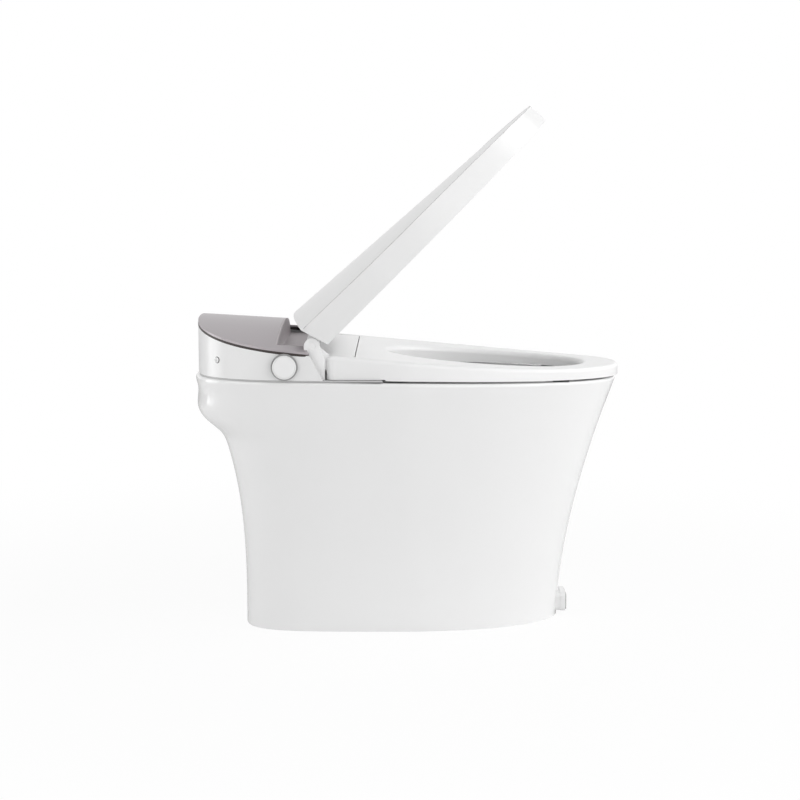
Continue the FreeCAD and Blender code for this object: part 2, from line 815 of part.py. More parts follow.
def lid_buffers():
    pads = []
    for x, y in lid_buffer_places:
        rear, front, top = x - margin, x + margin, lid_crease_rear_z
        pad = cylinder_z(x, y, lid_buffer_r, seat_top_z(x - lid_buffer_r) + buffer_rest_gap, top)
        liner = side_profile([(rear, lid_under_z(rear) + liner_rise), (front, lid_under_z(front) + liner_rise),
                              (front, top + over), (rear, top + over)], y - margin, y + margin)
        pad = open_lid(pad.cut(liner))
        pads += [pad, mirrored(pad)]
    return pads


def face_edges(shape, y):
    return [e for e in shape.Edges if abs(e.CenterOfMass.y - y) < fit_gap and e.Closed]


def knob_disc(r, y0, y1):
    return cylinder_y(knob_x, knob_z, r, y0, y1)


def knob_pieces():
    """Bezel cup, turning ring and push face of the control knob, with the encoder behind."""
    inner_r = bezel_r - bezel_wall
    cup = knob_disc(bezel_r, bezel_face_y, bezel_floor_y)
    cup = cup.cut(knob_disc(inner_r, bezel_face_y - over, bezel_floor_y - bezel_floor))
    cup = cup.cut(knob_disc(encoder_shaft_r + knob_gap, bezel_face_y, bezel_floor_y + over))
    back_y = bezel_floor_y - bezel_floor - knob_gap
    ring = knob_disc(inner_r - knob_gap, knob_face_y, back_y)
    ring = ring.makeFillet(ring_edge_r, face_edges(ring, knob_face_y))
    ring = ring.cut(knob_disc(button_r + fit_gap, knob_face_y - over, knob_floor_y))
    ring = ring.cut(knob_disc(encoder_shaft_r + running_gap, knob_floor_y - over, back_y + over))
    button = knob_disc(button_r, knob_face_y, button_back_y)
    button = button.makeFillet(button_edge_r, face_edges(button, knob_face_y))
    low, high = knob_z - encoder_half, knob_z + encoder_half
    back = bezel_floor_y + encoder_half
    encoder = box(knob_x - encoder_half, knob_x + encoder_half, bezel_floor_y, back, low, high)
    encoder = encoder.fuse(knob_disc(encoder_shaft_r, knob_floor_y + knob_gap, bezel_floor_y))
    return cup, ring, button, encoder


def side_plug():
    point, normal = wall_place(plug_x, plug_z)
    plug = Part.makeCylinder(plug_r, unit_wall + over, point - normal * unit_wall, normal)
    return plug.cut(Part.makeCylinder(plug_r - plug_rim, 2 * over, point - normal * 2 * fit_gap, normal))


def gland_disc(r, overhang, length):
    return Part.makeCylinder(r, length, Vector(unit_rear - overhang, gland_y, gland_z), Vector(1, 0, 0))


def power_gland():
    flange = gland_disc(gland_r + gland_flange, gland_flange, gland_length / 2)
    flange = flange.cut(prism(unit_outline(wall_foot_z - foot_gap, -fit_gap), 3 * margin))
    body = gland_disc(gland_r, gland_lip, gland_length)
    return flange.fuse(body).cut(gland_disc(gland_bore_r, margin, 3 * margin))


def along_wand(shape, x, z):
    """Turns a piece drawn level to the slope of the wands."""
    return shape.rotated(Vector(x, 0, z), Vector(0, 1, 0), wand_slope)


def wand_line_z(x):
    return wand_tip_z + (wand_tip_x - x) * math.tan(math.radians(wand_slope))


def wand(y, jets):
    start = Vector(wand_tip_x - wand_length, y, wand_tip_z)
    rod = Part.makeCylinder(wand_r, wand_length - wand_r, start, Vector(1, 0, 0))
    rod = rod.fuse(Part.makeSphere(wand_r, Vector(wand_tip_x - wand_r, y, wand_tip_z)))
    for i in range(jets):
        x = wand_tip_x - 2 * wand_r - jet_spacing * i
        rod = rod.cut(cylinder_z(x, y, jet_r, wand_tip_z, wand_tip_z + wand_r + over))
    return along_wand(rod.removeSplitter(), wand_tip_x, wand_tip_z)


def wand_guide():
    z = wand_line_z(guide_x)
    half, wide = guide_length / 2, guide_half_width
    low, high = z - guide_half_height, z + guide_half_height
    block = box(guide_x - half, guide_x + half, -wide, wide, low, high)
    foot = deck_z + plate_thickness
    legs = side_profile([(guide_x - guide_leg_rear, foot), (guide_x + guide_leg_front, foot),
                         (guide_x + guide_leg_front, low), (guide_x - guide_leg_rear, low + guide_leg_front)],
                        -wide, wide)
    block = along_wand(block, guide_x, z).fuse(legs)
    for y in (-wand_half_spacing, wand_half_spacing):
        start = Vector(guide_x - wand_length / 2, y, z)
        bore = Part.makeCylinder(wand_r + running_gap, wand_length, start, Vector(1, 0, 0))
        block = block.cut(along_wand(bore, guide_x, z))
    return block


def wand_motor():
    z = wand_line_z(guide_x)
    y = guide_half_width
    body = cylinder_y(guide_x, z, motor_r, y, y + motor_length)
    tab = motor_r - over
    return body.fuse(box(guide_x - tab / 2, guide_x + tab / 2, y, y + plate_thickness, z - tab, z + tab))


def water_heater():
    tank = box(*heater_x, *heater_y, deck_z + plate_thickness, heater_top)
    return tank.makeFillet(heater_corner_r, upright_edges(tank))


def board_pieces():
    low = heater_top + standoff_height
    board = box(*board_x, *board_y, low, low + board_thickness)
    xs = [board_x[0] + standoff_inset, board_x[1] - standoff_inset]
    ys = [board_y[0] + standoff_inset, board_y[1] - standoff_inset]
    return board, [cylinder_z(x, y, standoff_r, heater_top, low) for x in xs for y in ys]


def water_pump():
    foot = deck_z + plate_thickness
    rear, front = pump_x
    body = Part.makeCylinder(pump_r, front - rear, Vector(rear, pump_y, foot + pump_rise), Vector(1, 0, 0))
    half = pump_foot_half
    stand = box(rear + half, front - half, pump_y - half, pump_y + half, foot, foot + half)
    return body.fuse(stand).removeSplitter()


def inlet_valve():
    foot = deck_z + plate_thickness
    top = foot + valve_height
    half = valve_half
    body = box(inlet_x - half, inlet_x + half, inlet_y - half, inlet_y + half, foot, top)
    coil = cylinder_z(inlet_x, inlet_y, coil_r, top, top + coil_height)
    neck = cylinder_z(inlet_x, inlet_y, inlet_neck_r, inlet_thread_top, foot)
    thread = cylinder_z(inlet_x, inlet_y, inlet_r, inlet_thread_low, inlet_thread_top)
    bore = cylinder_z(inlet_x, inlet_y, inlet_bore_r, inlet_thread_low - over, foot + valve_height / 2)
    return body.fuse(coil).fuse(neck).fuse(thread).cut(bore)


def dryer_fan():
    foot = deck_z + plate_thickness
    top = foot + fan_height
    volute = cylinder_z(fan_x, fan_y, fan_r, foot, top)
    outlet = box(fan_x, duct_rear - fit_gap, duct_y[0], fan_y, top - fan_outlet_height, top)
    return volute.fuse(outlet).removeSplitter()


def duct_profile(skin, overrun):
    """Side profile of the dryer duct, sloping down with the wands."""
    slope = math.tan(math.radians(wand_slope))
    rear, front = duct_rear - overrun, duct_front + overrun
    high = duct_top - skin + slope * overrun
    low = duct_low + skin + slope * overrun
    run = front - rear
    return [(rear, low), (front - duct_bevel, low - slope * (run - duct_bevel)), (front, high - slope * run),
            (rear, high)]


def dryer_duct():
    y0, y1 = duct_y
    duct = side_profile(duct_profile(0, 0), y0, y1)
    duct = duct.cut(side_profile(duct_profile(duct_skin, margin), y0 + duct_skin, y1 - duct_skin))
    x, z, wide = flap_pivot_x, flap_pivot_z, ear_thickness
    for a, b in [(y0 - wide, y0), (y1, y1 + wide)]:
        ear = side_profile([(x - ear_length, z), (x + wide, z - wide), (x + wide, z + wide),
                            (x - ear_length, z + 2 * wide)], a, b)
        duct = duct.fuse(ear.cut(cylinder_y(x, z, flap_pin_r + running_gap, a - over, b + over)))
    return duct


def dryer_flap():
    y0, y1 = duct_y
    x, z, half = flap_pivot_x, flap_pivot_z, flap_half
    pin = cylinder_y(x, z, flap_pin_r, y0 - ear_thickness, y1 + ear_thickness)
    leaf = box(x - half, x + half, y0 + half / 2, y1 - half / 2, z - flap_length, z)
    return leaf.rotated(Vector(x, 0, z), Vector(0, 1, 0), wand_slope).fuse(pin)


def deodoriser():
    return box(*filter_x, *filter_y, deck_z + plate_thickness, filter_top)


def unit_fixings():
    foot = deck_z + plate_thickness
    under = deck_z - 2 * ceramic_wall
    bolts, nuts = [], []
    for x, y in unit_bolt_places:
        shank = cylinder_z(x, y, unit_bolt_r, under - nut_height - bolt_head_height, foot)
        bolts.append(shank.fuse(cylinder_z(x, y, bolt_head_r, foot, foot + bolt_head_height)))
        nut = cylinder_z(x, y, nut_r, under - nut_height, under)
        nuts.append(nut.cut(cylinder_z(x, y, unit_bolt_r + fit_gap, under - 2 * nut_height, under + over)))
    return bolts, nuts


def outlet_seal():
    bore_r = trap_bore_r + trap_wall + fit_gap
    return cylinder_z(0, 0, seal_r, 0, seal_height).cut(cylinder_z(0, 0, bore_r, -over, seal_height + over))


def bracket_pieces():
    x0, x1 = bracket_x
    y0, y1 = bracket_y
    inner = y1 - bracket_thickness
    plate = box(x0, x1, y0, y1, 0, bracket_thickness)
    bracket = plate.fuse(box(x0, x1, inner, y1, bracket_thickness, bracket_height)).removeSplitter()
    hole = cylinder_z((x0 + x1) / 2, floor_hole_y, floor_hole_r, -over, bracket_thickness + over)
    bracket = bracket.cut(hole)
    screws = []
    for x in bracket_screw_xs():
        bracket = bracket.cut(cylinder_y(x, screw_z, screw_r + fit_gap, y0, y1 + over))
        screw = cylinder_y(x, screw_z, screw_r, inner, y1 + boss_bite - over)
        screw = screw.fuse(cylinder_y(x, screw_z, 2 * screw_r, inner - screw_head, inner))
        screws += [screw, mirrored(screw)]
    return [bracket, mirrored(bracket)], screws


def sensor_block(x0, x1, inset):
    z0, z1 = sensor_z
    half = sensor_half_width - inset
    block = box(x0, x1, -half, half, z0 + inset, z1 - inset)
    along = [e for e in block.Edges if abs(e.tangentAt(e.FirstParameter).x) > 0.9]
    return block.makeFillet(sensor_corner_r - inset, along)


def sensor_pieces():
    """Foot sensor on the front of the skirt: conforming gasket, housing and dark window."""
    gasket = sensor_block(gasket_back, sensor_back, gasket_inset)
    gasket = gasket.cut(skirt_solid(deck_z, -fit_gap, skirt_sections))
    front = sensor_face - window_thickness
    housing = sensor_block(sensor_back, front, 0)
    window = sensor_block(front, sensor_face, window_inset)
    return gasket, housing, window


def flush_pieces():
    top = deck_z - 2 * ceramic_wall
    valve = cylinder_z(flush_x, 0, flush_r, flush_low_z, top)
    valve = valve.fuse(cylinder_z(flush_x, 0, flush_flange_r, top - flush_flange, top)).removeSplitter()
    start = Vector(flush_x, 0, flush_pipe_z)
    pipe = Part.makeCylinder(flush_pipe_r, bowl_rear + bowl_rear_taper - flush_x, start, Vector(1, 0, 0))
    pipe = pipe.cut(bowl_solid(ceramic_wall + fit_gap)).cut(cylinder_z(flush_x, 0, flush_r + fit_gap, 0, top))
    return valve, pipe


def write(name, shape):
    shapes = shape if isinstance(shape, (list, tuple)) else [shape]
    node = Part.makeCompound(shapes) if len(shapes) > 1 else shapes[0]
    print(name, node.isValid(), len(node.Solids), round(node.Volume / 1e3, 1))
    node.exportStep("parts/" + name + ".step")


def main():
    os.makedirs("parts", exist_ok=True)
    seat_top, seat_base, seat_heater, seat_arms = seat_pieces()
    lid_shell, lid_band, lid_liner, lid_arms = lid_pieces()
    bezel, ring, button, encoder = knob_pieces()
    board, standoffs = board_pieces()
    bolts, nuts = unit_fixings()
    brackets, screws = bracket_pieces()
    gasket, sensor, window = sensor_pieces()
    valve, pipe = flush_pieces()
    pieces = {
        "ceramic_body": ceramic_body(), "base_plate": base_plate(), "rear_housing": rear_housing(),
        "top_cover": top_cover(), "cover_trim": cover_trim(), "hinge_trough": hinge_trough(),
        "front_cowl": front_cowl(), "hinge_posts": hinge_posts(), "hinge_pins": hinge_pins(),
        "lid_damper": damper(1), "seat_damper": damper(-1), "seat_top": seat_top, "seat_base": seat_base,
        "seat_heater": seat_heater, "seat_buffers": seat_buffers(), "lid_shell": lid_shell,
        "seat_arms": seat_arms, "lid_arms": lid_arms, "lid_band": lid_band, "lid_liner": lid_liner,
        "lid_buffers": lid_buffers(), "knob_bezel": bezel,
        "knob_ring": ring, "knob_button": button, "knob_encoder": encoder, "side_plug": side_plug(),
        "power_gland": power_gland(), "rear_wash_wand": wand(wand_half_spacing, 3),
        "front_wash_wand": wand(-wand_half_spacing, 2), "wand_guide": wand_guide(),
        "wand_motor": wand_motor(), "water_heater": water_heater(), "control_board": board,
        "board_standoffs": standoffs, "water_pump": water_pump(), "inlet_valve": inlet_valve(),
        "dryer_fan": dryer_fan(), "dryer_duct": dryer_duct(), "dryer_flap": dryer_flap(),
        "deodoriser": deodoriser(), "unit_bolts": bolts, "unit_nuts": nuts, "outlet_seal": outlet_seal(),
        "floor_brackets": brackets, "bracket_screws": screws, "sensor_gasket": gasket,
        "foot_sensor": sensor, "sensor_window": window, "flush_valve": valve, "flush_pipe": pipe,
    }
    for name, shape in pieces.items():
        write(name, shape)


main()
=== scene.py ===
# smart toilet: finishes, small visual pieces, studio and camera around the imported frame
import json
import math

import bmesh
import bpy
import numpy as np
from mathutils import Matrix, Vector


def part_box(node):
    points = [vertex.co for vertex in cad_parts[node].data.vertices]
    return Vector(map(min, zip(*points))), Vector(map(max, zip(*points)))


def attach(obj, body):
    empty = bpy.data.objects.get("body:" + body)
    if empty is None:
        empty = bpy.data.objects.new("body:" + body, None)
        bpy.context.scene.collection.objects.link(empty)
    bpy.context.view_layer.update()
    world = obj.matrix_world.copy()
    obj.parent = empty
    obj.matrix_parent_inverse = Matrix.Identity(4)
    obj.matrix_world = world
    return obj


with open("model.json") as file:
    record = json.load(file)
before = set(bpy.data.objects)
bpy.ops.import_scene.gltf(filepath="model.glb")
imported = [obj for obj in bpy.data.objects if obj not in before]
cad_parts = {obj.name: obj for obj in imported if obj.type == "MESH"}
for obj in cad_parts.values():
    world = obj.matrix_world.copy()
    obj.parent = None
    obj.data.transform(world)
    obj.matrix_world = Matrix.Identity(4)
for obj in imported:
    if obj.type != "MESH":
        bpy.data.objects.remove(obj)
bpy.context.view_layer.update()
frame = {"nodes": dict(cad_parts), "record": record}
nodes = frame["nodes"]
print("frame loaded:", len(nodes), "nodes")


# shader maths: a link is one output socket, and operators add Math nodes
class Link:
    def __init__(self, graph, socket):
        self.graph = graph
        self.socket = socket

    def __add__(self, other):
        return self.graph.maths("ADD", self, other)

    def __radd__(self, other):
        return self.graph.maths("ADD", other, self)

    def __mul__(self, other):
        return self.graph.maths("MULTIPLY", self, other)

    def __rmul__(self, other):
        return self.graph.maths("MULTIPLY", other, self)


# node tree of a material or of the world
class Graph:
    def __init__(self, owner, outputKind="ShaderNodeOutputMaterial"):
        owner.use_nodes = True
        self.owner = owner
        self.tree = owner.node_tree
        self.tree.nodes.clear()
        self.output = self.tree.nodes.new(outputKind)

    def add(self, kind, settings=None, sockets=None, out=0):
        node = self.tree.nodes.new(kind)
        for key, value in (settings or {}).items():
            setattr(node, key, value)
        for key, value in (sockets or {}).items():
            if isinstance(value, Link):
                self.tree.links.new(value.socket, node.inputs[key])
            else:
                node.inputs[key].default_value = value
        return Link(self, node.outputs[out])

    def maths(self, operation, first, second):
        return self.add("ShaderNodeMath", {"operation": operation}, {0: first, 1: second})

    def place(self):
        return self.add("ShaderNodeTexCoord", out="Object")

    def noise(self, scale, detail=2.0, vector=None):
        return self.add("ShaderNodeTexNoise", None, {
            "Vector": vector or self.place(), "Scale": scale, "Detail": detail})

    # colour mix: sockets 0, 6 and 7 are the factor and the two colours
    def mix(self, factor, first, second):
        colours = {0: factor, 6: (*first, 1), 7: (*second, 1)}
        return self.add("ShaderNodeMix", {"data_type": "RGBA"}, colours, out=2)

    def bump(self, height, strength, distance):
        return self.add("ShaderNodeBump", None, {
            "Height": height, "Strength": strength, "Distance": distance})

    def lightPath(self, ray):
        return self.add("ShaderNodeLightPath", out=ray)

    def show(self, shader):
        self.tree.links.new(shader.socket, self.output.inputs["Surface"])
        return self.owner

    def surface(self, sockets):
        return self.show(self.add("ShaderNodeBsdfPrincipled", None, sockets))


def newGraph(name):
    return Graph(bpy.data.materials.new(name))


def grey(value):
    return (value, value, value)


# fired glaze: near-white body colour, faint pooling of the glaze, slow orange-peel
glaze = dict(low=0.835, high=0.875, pools=4.0, specks=900.0, roughness=0.10, speckRoughness=0.05,
             ripples=38.0, rippleStrength=0.04, rippleDepth=0.0004, coat=0.35, coatRoughness=0.05)


def glazeFinish():
    g = newGraph("glazedCeramic")
    specks = g.noise(glaze["specks"])
    return g.surface({
        "Base Color": g.mix(g.noise(glaze["pools"]), grey(glaze["low"]), grey(glaze["high"])),
        "Roughness": glaze["roughness"] + specks * glaze["speckRoughness"],
        "Normal": g.bump(g.noise(glaze["ripples"]), glaze["rippleStrength"], glaze["rippleDepth"]),
        "Coat Weight": glaze["coat"], "Coat Roughness": glaze["coatRoughness"]})


# injection-moulded gloss plastics share one skin: clouded tint, fine pores, slight peel
skin = dict(clouds=6.0, pores=1400.0, poreRoughness=0.06, peel=60.0, peelStrength=0.01,
            peelDepth=0.0002, coatRoughness=0.16)


def mouldedFinish(name, low, high, roughness, coat=0.2):
    g = newGraph(name)
    pores = g.noise(skin["pores"])
    return g.surface({
        "Base Color": g.mix(g.noise(skin["clouds"]), grey(low), grey(high)),
        "Roughness": roughness + pores * skin["poreRoughness"],
        "Normal": g.bump(g.noise(skin["peel"]), skin["peelStrength"], skin["peelDepth"]),
        "Coat Weight": coat, "Coat Roughness": skin["coatRoughness"]})


# satin cover: metallic flake in a purple-grey lacquer
cover = dict(low=(0.395, 0.362, 0.378), high=(0.440, 0.404, 0.422), clouds=9.0, flakes=5200.0,
             flakeShare=0.4, flakeStrength=0.06, flakeDepth=0.0001, flakeRoughness=0.12,
             roughness=0.34, metallic=0.25, coat=0.25, coatRoughness=0.25)


def coverFinish():
    g = newGraph("satinCover")
    flakes = g.noise(cover["flakes"])
    clouds = g.noise(cover["clouds"])
    tone = clouds * (1 - cover["flakeShare"]) + flakes * cover["flakeShare"]
    return g.surface({
        "Base Color": g.mix(tone, cover["low"], cover["high"]),
        "Roughness": cover["roughness"] + flakes * cover["flakeRoughness"],
        "Metallic": cover["metallic"],
        "Normal": g.bump(flakes, cover["flakeStrength"], cover["flakeDepth"]),
        "Coat Weight": cover["coat"], "Coat Roughness": cover["coatRoughness"]})


# textured plastics and rubber: spark-eroded grain over a plain colour
texture = dict(tones=30.0, grain=2600.0, detail=3.0, grainStrength=0.25, grainDepth=0.0002,
               grainRoughness=0.15)


def grainFinish(name, low, high, roughness):
    g = newGraph(name)
    grain = g.noise(texture["grain"], texture["detail"])
    return g.surface({
        "Base Color": g.mix(g.noise(texture["tones"]), low, high),
        "Roughness": roughness + grain * texture["grainRoughness"],
        "Normal": g.bump(grain, texture["grainStrength"], texture["grainDepth"])})


# metals: fine turning lines stretched along one axis
turning = dict(lines=120.0, detail=4.0, lineStrength=0.12, lineDepth=0.0002, lineRoughness=0.18)


def metalFinish(name, low, high, roughness, stretch):
    g = newGraph(name)
    along = g.add("ShaderNodeMapping", None, {"Vector": g.place(), "Scale": stretch})
    lines = g.noise(turning["lines"], turning["detail"], along)
    return g.surface({
        "Base Color": g.mix(lines, low, high), "Metallic": 1.0,
        "Roughness": roughness + lines * turning["lineRoughness"],
        "Normal": g.bump(lines, turning["lineStrength"], turning["lineDepth"])})


# solder mask with pale tracks: a brick pattern's mortar picks the track colour
board = dict(scale=160.0, trackWidth=0.06, mask=(0.02, 0.16, 0.07), track=(0.05, 0.30, 0.13),
             roughness=0.35)


def boardFinish():
    g = newGraph("solderMask")
    black, white = (*grey(0), 1), (*grey(1), 1)
    tracks = g.add("ShaderNodeTexBrick", None, {
        "Vector": g.place(), "Color1": black, "Color2": black, "Mortar": white,
        "Scale": board["scale"], "Mortar Size": board["trackWidth"]})
    return g.surface({
        "Base Color": g.mix(tracks, board["mask"], board["track"]),
        "Roughness": board["roughness"]})


# one finish for each material slot of the record
finishes = {
    "ceramic": glazeFinish(),
    "white_shell": mouldedFinish("whiteShell", low=0.80, high=0.835, roughness=0.28),
    "seat_white": mouldedFinish("seatWhite", low=0.84, high=0.875, roughness=0.26, coat=0.25),
    "cover_grey": coverFinish(),
    "dark_trim": grainFinish("darkTrim", low=(0.022, 0.016, 0.014), high=(0.034, 0.025, 0.022),
                             roughness=0.45),
    # lining painted lighter than the cover, as painted light that offsets the shade under the lid
    # and in the trough
    "trough_brown": grainFinish("troughLiningPaintedLight", low=(0.570, 0.530, 0.545),
                                high=(0.620, 0.576, 0.590), roughness=0.40),
    "grey_plastic": grainFinish("greyPlastic", low=grey(0.30), high=grey(0.36), roughness=0.42),
    "knob_white": mouldedFinish("knobWhite", low=0.86, high=0.885, roughness=0.26),
    "steel": metalFinish("stainless", low=grey(0.52), high=grey(0.64), roughness=0.18,
                         stretch=(1, 1, 14)),
    "brass": metalFinish("turnedBrass", low=(0.55, 0.40, 0.16), high=(0.68, 0.52, 0.24),
                         roughness=0.22, stretch=(1, 1, 20)),
    "rubber": grainFinish("rubber", low=grey(0.018), high=grey(0.030), roughness=0.62),
    "board_green": boardFinish(),
    "foil": metalFinish("heaterFoil", low=grey(0.60), high=grey(0.72), roughness=0.30,
                        stretch=(8, 1, 1)),
    "window": mouldedFinish("sensorWindow", low=0.10, high=0.13, roughness=0.12),
}
slotOf = {part["node"]: part["material_slot"] for part in frame["record"]["subparts"]}

# nodes whose tone differs from the rest of their slot, as painted light and shade
# pale grey on the base plate, partly its own colour and partly painted shade: its edge shows as
# the shadow line under the housing; the lid's painted shadow line uses it too
shadowLineGrey = grainFinish("paleGreyShadowLine", low=grey(0.46), high=grey(0.52), roughness=0.42)
# white painted lighter than the shell, as painted light: it lifts the lid's shade off the hinge
# posts, the cowl and the post caps
shadeLiftedWhite = mouldedFinish("shadeLiftedWhite", low=0.90, high=0.92, roughness=0.28)
ownFinish = {"base_plate": shadowLineGrey, "hinge_posts": shadeLiftedWhite, "front_cowl": shadeLiftedWhite}
for name, node in nodes.items():
    node.data.materials.clear()
    node.data.materials.append(ownFinish.get(name, finishes[slotOf[name]]))
print("finishes on", len(nodes), "nodes")


upright = np.array([0.0, 0.0, 1.0])


def unit(vectors):
    return vectors / np.linalg.norm(vectors, axis=-1, keepdims=True)


# surface of revolution about a level axis: radius and outward distance carried round a circle
def turned(profile, centre, axis, steps=48):
    radius, out = np.asarray(profile, float).T
    axis = unit(np.asarray(axis, float))
    across = np.cross(upright, axis)
    angle = np.linspace(0, 2 * math.pi, steps, endpoint=False)
    circle = np.cos(angle)[:, None] * across + np.sin(angle)[:, None] * upright
    return np.asarray(centre, float) + radius[:, None, None] * circle + out[:, None, None] * axis


# ellipse carried along a path, on two half axes at each point, and shrunk to a point at both ends
def carried(path, halfAcross, halfOver, steps):
    angle = np.linspace(0, 2 * math.pi, steps, endpoint=False)[:, None]
    section = np.cos(angle) * halfAcross[:, None] + np.sin(angle) * halfOver[:, None]
    section[[0, -1]] = 0
    return path[:, None] + section


# superellipse about the origin: cosine and sine raised to two over its squareness, signs kept
def superellipse(angle, reach, halfWidth, squareness):
    power = 2 / squareness
    x = reach * np.abs(np.cos(angle)) ** power
    y = halfWidth * np.sign(np.sin(angle)) * np.abs(np.sin(angle)) ** power
    return x, y


# closed mesh from grids of rings: quads between neighbouring rings, poles merged, normals outwards
def ringMesh(name, grids, finish, body, mergeWithin=1e-6):
    whole = bmesh.new()
    for points in grids:
        rows, steps = points.shape[:2]
        index = np.arange(rows * steps).reshape(rows, steps)
        beside = np.roll(index, -1, axis=1)
        quads = np.stack([index[:-1], beside[:-1], beside[1:], index[1:]], axis=-1)
        part = bpy.data.meshes.new("part")
        part.from_pydata(points.reshape(-1, 3).tolist(), [], quads.reshape(-1, 4).tolist())
        whole.from_mesh(part)
        bpy.data.meshes.remove(part)
    bmesh.ops.remove_doubles(whole, verts=whole.verts, dist=mergeWithin)
    bmesh.ops.recalc_face_normals(whole, faces=whole.faces)
    mesh = bpy.data.meshes.new(name)
    whole.to_mesh(mesh)
    whole.free()
    mesh.shade_smooth()
    piece = bpy.data.objects.new(name, mesh)
    bpy.context.collection.objects.link(piece)
    mesh.materials.append(finish)
    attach(piece, body)


# moulded caps that close the hinge pins' holes in the posts: a domed disc on each outer face,
# with its dome given as shares of the radius and of the crown's height
postCap = dict(x=-0.092, z=0.462, radius=0.0062, crown=0.00042,
               dome=[(0, 1), (0.5, 0.94), (0.8, 0.75), (0.95, 0.4), (1, 0), (0, 0)])


def buildPostCaps():
    profile = np.array(postCap["dome"]) * (postCap["radius"], postCap["crown"])
    low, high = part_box("hinge_posts")
    grids = [turned(profile, (postCap["x"], low[1], postCap["z"]), (0, -1, 0)),
             turned(profile, (postCap["x"], high[1], postCap["z"]), (0, 1, 0))]
    # caps in the lighter white: painted light against the lid's shade
    ringMesh("postCaps", grids, shadeLiftedWhite, "pan")


# thin painted shadow ring round the side plug: a small circle carried round the plug's edge
plugShadowRing = dict(place=(-0.2410, -0.1496, 0.4370), facing=(-0.6822, -0.7312, 0), radius=0.0047,
                thickness=0.0005, sides=12)


def buildPlugShadowRing():
    turn = np.linspace(0, 2 * math.pi, plugShadowRing["sides"] + 1)
    thick = plugShadowRing["thickness"]
    profile = np.stack([plugShadowRing["radius"] + thick * np.cos(turn), thick * np.sin(turn)], axis=1)
    ring = turned(profile, plugShadowRing["place"], plugShadowRing["facing"])
    ringMesh("plugShadowRing", [ring], finishes["dark_trim"], "pan")


# painted shadow line along the lid's crease, drawn shut and turned open about the hinge: a small
# circle carried along the plan's edge, straight from the rear to the widest place and then a
# superellipse round the front, at the height of the crowned top between its two end arcs
lidSeamShadow = dict(rear=-0.0815, widest=-0.010, front=0.413, halfWidth=0.200, squareness=2.1,
               radius=0.00045, sideLift=0.0002, noseLift=-0.0003, crownEnds=(-0.109, 0.433),
               edgeZ=(0.490753, 0.443247), crowns=(0.0255, 0.001), crownHalf=0.205,
               hinge=(-0.092, 0.462), opening=48.7, noseSteps=120, sideSteps=12, sides=10)


# height of a circular arc of the given rise over its chord, at y from the middle
def arcHeight(y, half, rise):
    radius = (half ** 2 + rise ** 2) / (2 * rise)
    return np.sqrt(radius ** 2 - y ** 2) - (radius - rise)


def buildLidSeamShadow():
    seamShadow = lidSeamShadow
    thick = seamShadow["radius"]
    reach, half = seamShadow["front"] - thick - seamShadow["widest"], seamShadow["halfWidth"] - thick
    angle = np.linspace(math.pi / 2, -math.pi / 2, seamShadow["noseSteps"] + 1)[1:-1]
    noseX, noseY = superellipse(angle, reach, half, seamShadow["squareness"])
    sideX = np.linspace(seamShadow["rear"], seamShadow["widest"], seamShadow["sideSteps"])
    sideY = np.full(seamShadow["sideSteps"], half)
    x = np.concatenate([sideX, seamShadow["widest"] + noseX, sideX[::-1]])
    y = np.concatenate([sideY, noseY, -sideY])

    rear, front = seamShadow["crownEnds"]
    share = (x - rear) / (front - rear)
    rearTop, frontTop = [edge + arcHeight(y, seamShadow["crownHalf"], rise)
                         for edge, rise in zip(seamShadow["edgeZ"], seamShadow["crowns"])]
    lift = seamShadow["noseLift"] + (seamShadow["sideLift"] - seamShadow["noseLift"]) * np.abs(y) / half
    z = rearTop + (frontTop - rearTop) * share + lift

    hingeX, hingeZ = seamShadow["hinge"]
    cosine, sine = math.cos(math.radians(seamShadow["opening"])), math.sin(math.radians(seamShadow["opening"]))
    path = np.stack([hingeX + (x - hingeX) * cosine - (z - hingeZ) * sine, y,
                     hingeZ + (x - hingeX) * sine + (z - hingeZ) * cosine], axis=1)
    along = unit(np.gradient(path, axis=0))
    across = unit(np.cross(along, np.array([-sine, 0, cosine])))
    over = np.cross(across, along)
    grid = carried(path, thick * across, thick * over, seamShadow["sides"])
    ringMesh("lidSeamShadow", [grid], shadowLineGrey, "lid")


# dark bead under the cover's edge, partly the dark trim and partly painted shadow below the
# cover's edge on the wall's top: a flat ellipse carried round the wall's superellipse, at the
# height where the sloping crown cylinder, less the cover's thickness, meets the wall
coverShadowBead = dict(rear=-0.281, widest=-0.010, halfWidth=0.196, squareness=3.3, frontEnd=-0.0968,
                 crownRear=(-0.240, 0.492), crownRadius=0.610, fall=7 / 120, coverThickness=0.003,
                 halfHeight=0.0019, proud=0.00025, steps=200, sides=12)


